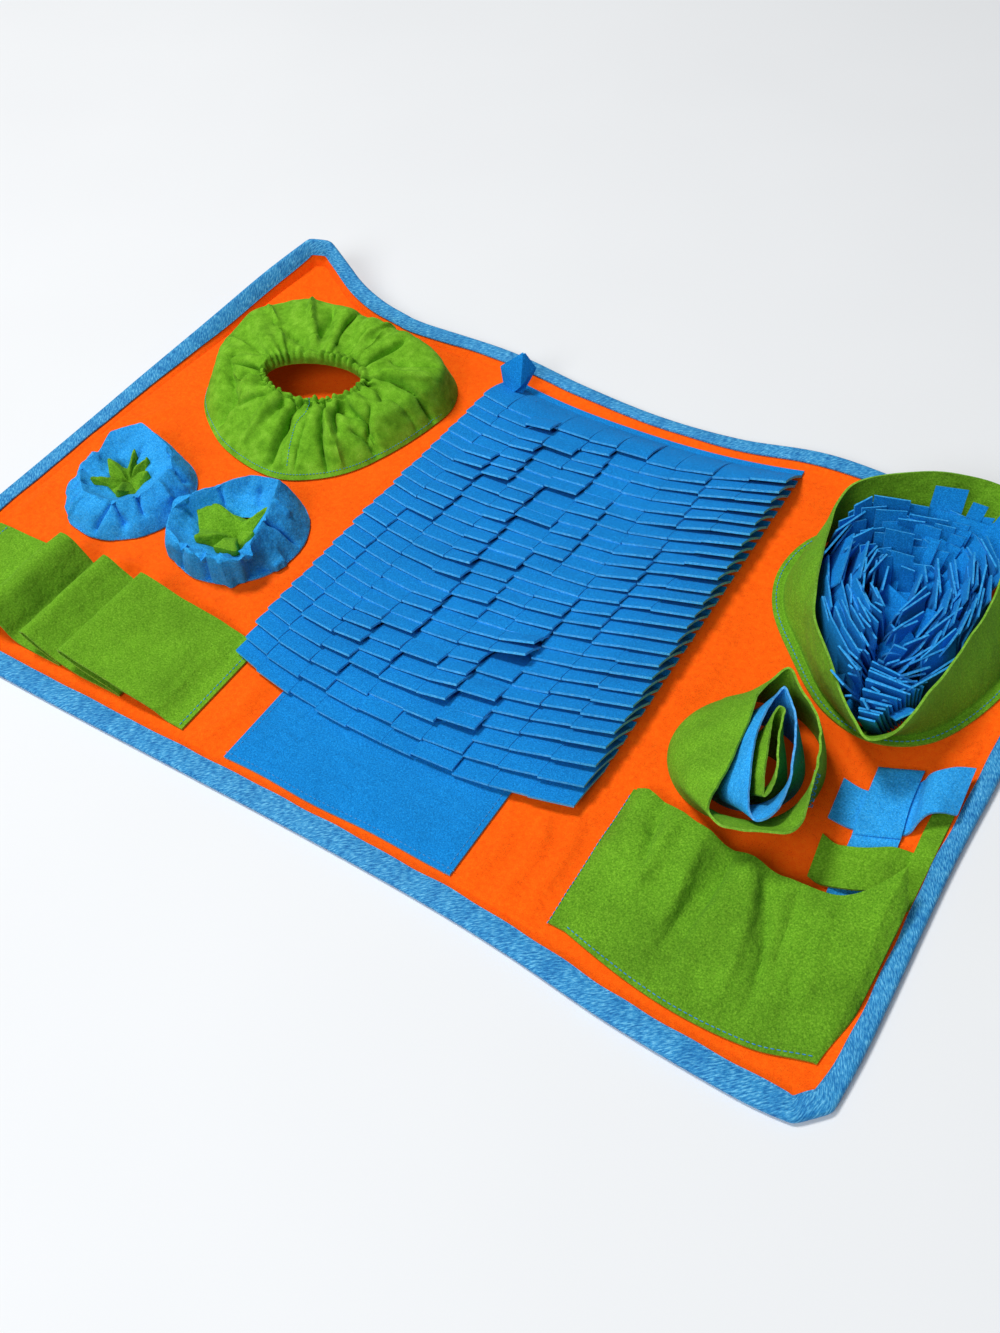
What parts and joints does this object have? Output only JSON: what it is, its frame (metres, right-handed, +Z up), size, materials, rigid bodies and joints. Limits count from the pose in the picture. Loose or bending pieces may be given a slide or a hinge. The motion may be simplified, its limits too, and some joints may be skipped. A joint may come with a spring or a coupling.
{
  "type": "snuffle mat",
  "caption": "Flat felt dog mat with a taped edge and sewn fringe, pleats, rolls, cups and pockets that hide dry food.",
  "frame": {"origin": "middle of the mat, at the floor", "axes": "+X along the mat's long side, +Y to its back edge, +Z up"},
  "size_m": [0.743, 0.4999, 0.0488],
  "materials": {
    "orange_felt": "matte felt",
    "green_felt": "mottled matte felt",
    "blue_felt": "matte felt",
    "blue_fleece": "matte cut fleece",
    "blue_tape": "woven tape with a soft sheen"
  },
  "bodies": {
    "root": {"bellows_pocket": "green_felt", "binding": "blue_tape", "cup_left": "blue_felt", "cup_left_heart": "green_felt", "cup_right": "blue_felt", "cup_right_heart": "green_felt", "fringe_row_01": "blue_fleece", "fringe_row_02": "blue_fleece", "fringe_row_03": "blue_fleece", "fringe_row_04": "blue_fleece", "fringe_row_05": "blue_fleece", "fringe_row_06": "blue_fleece", "fringe_row_07": "blue_fleece", "fringe_row_08": "blue_fleece", "fringe_row_09": "blue_fleece", "fringe_row_10": "blue_fleece", "fringe_row_11": "blue_fleece", "fringe_row_12": "blue_fleece", "fringe_row_13": "blue_fleece", "fringe_row_14": "blue_fleece", "fringe_row_15": "blue_fleece", "fringe_row_16": "blue_fleece", "fringe_row_17": "blue_fleece", "fringe_row_18": "blue_fleece", "fringe_row_19": "blue_fleece", "fringe_row_20": "blue_fleece", "fringe_row_21": "blue_fleece", "fringe_row_22": "blue_fleece", "fringe_row_23": "blue_fleece", "fringe_row_24": "blue_fleece", "fringe_row_25": "blue_fleece", "fringe_row_26": "blue_fleece", "front_patch": "blue_fleece", "gathered_pocket": "green_felt", "mat_base": "orange_felt", "pleated_strip": "green_felt", "pot_fringe_1": "blue_fleece", "pot_fringe_2": "blue_fleece", "pot_fringe_3": "blue_fleece", "pot_fringe_4": "blue_fleece", "pot_fringe_5": "blue_fleece", "pot_wall": "green_felt", "roll_inner": "green_felt", "roll_middle": "blue_felt", "roll_outer": "green_felt", "weave_blue_across": "blue_felt", "weave_blue_along": "blue_felt", "weave_green_across": "green_felt", "weave_green_along": "green_felt"}
  },
  "joints": []
}
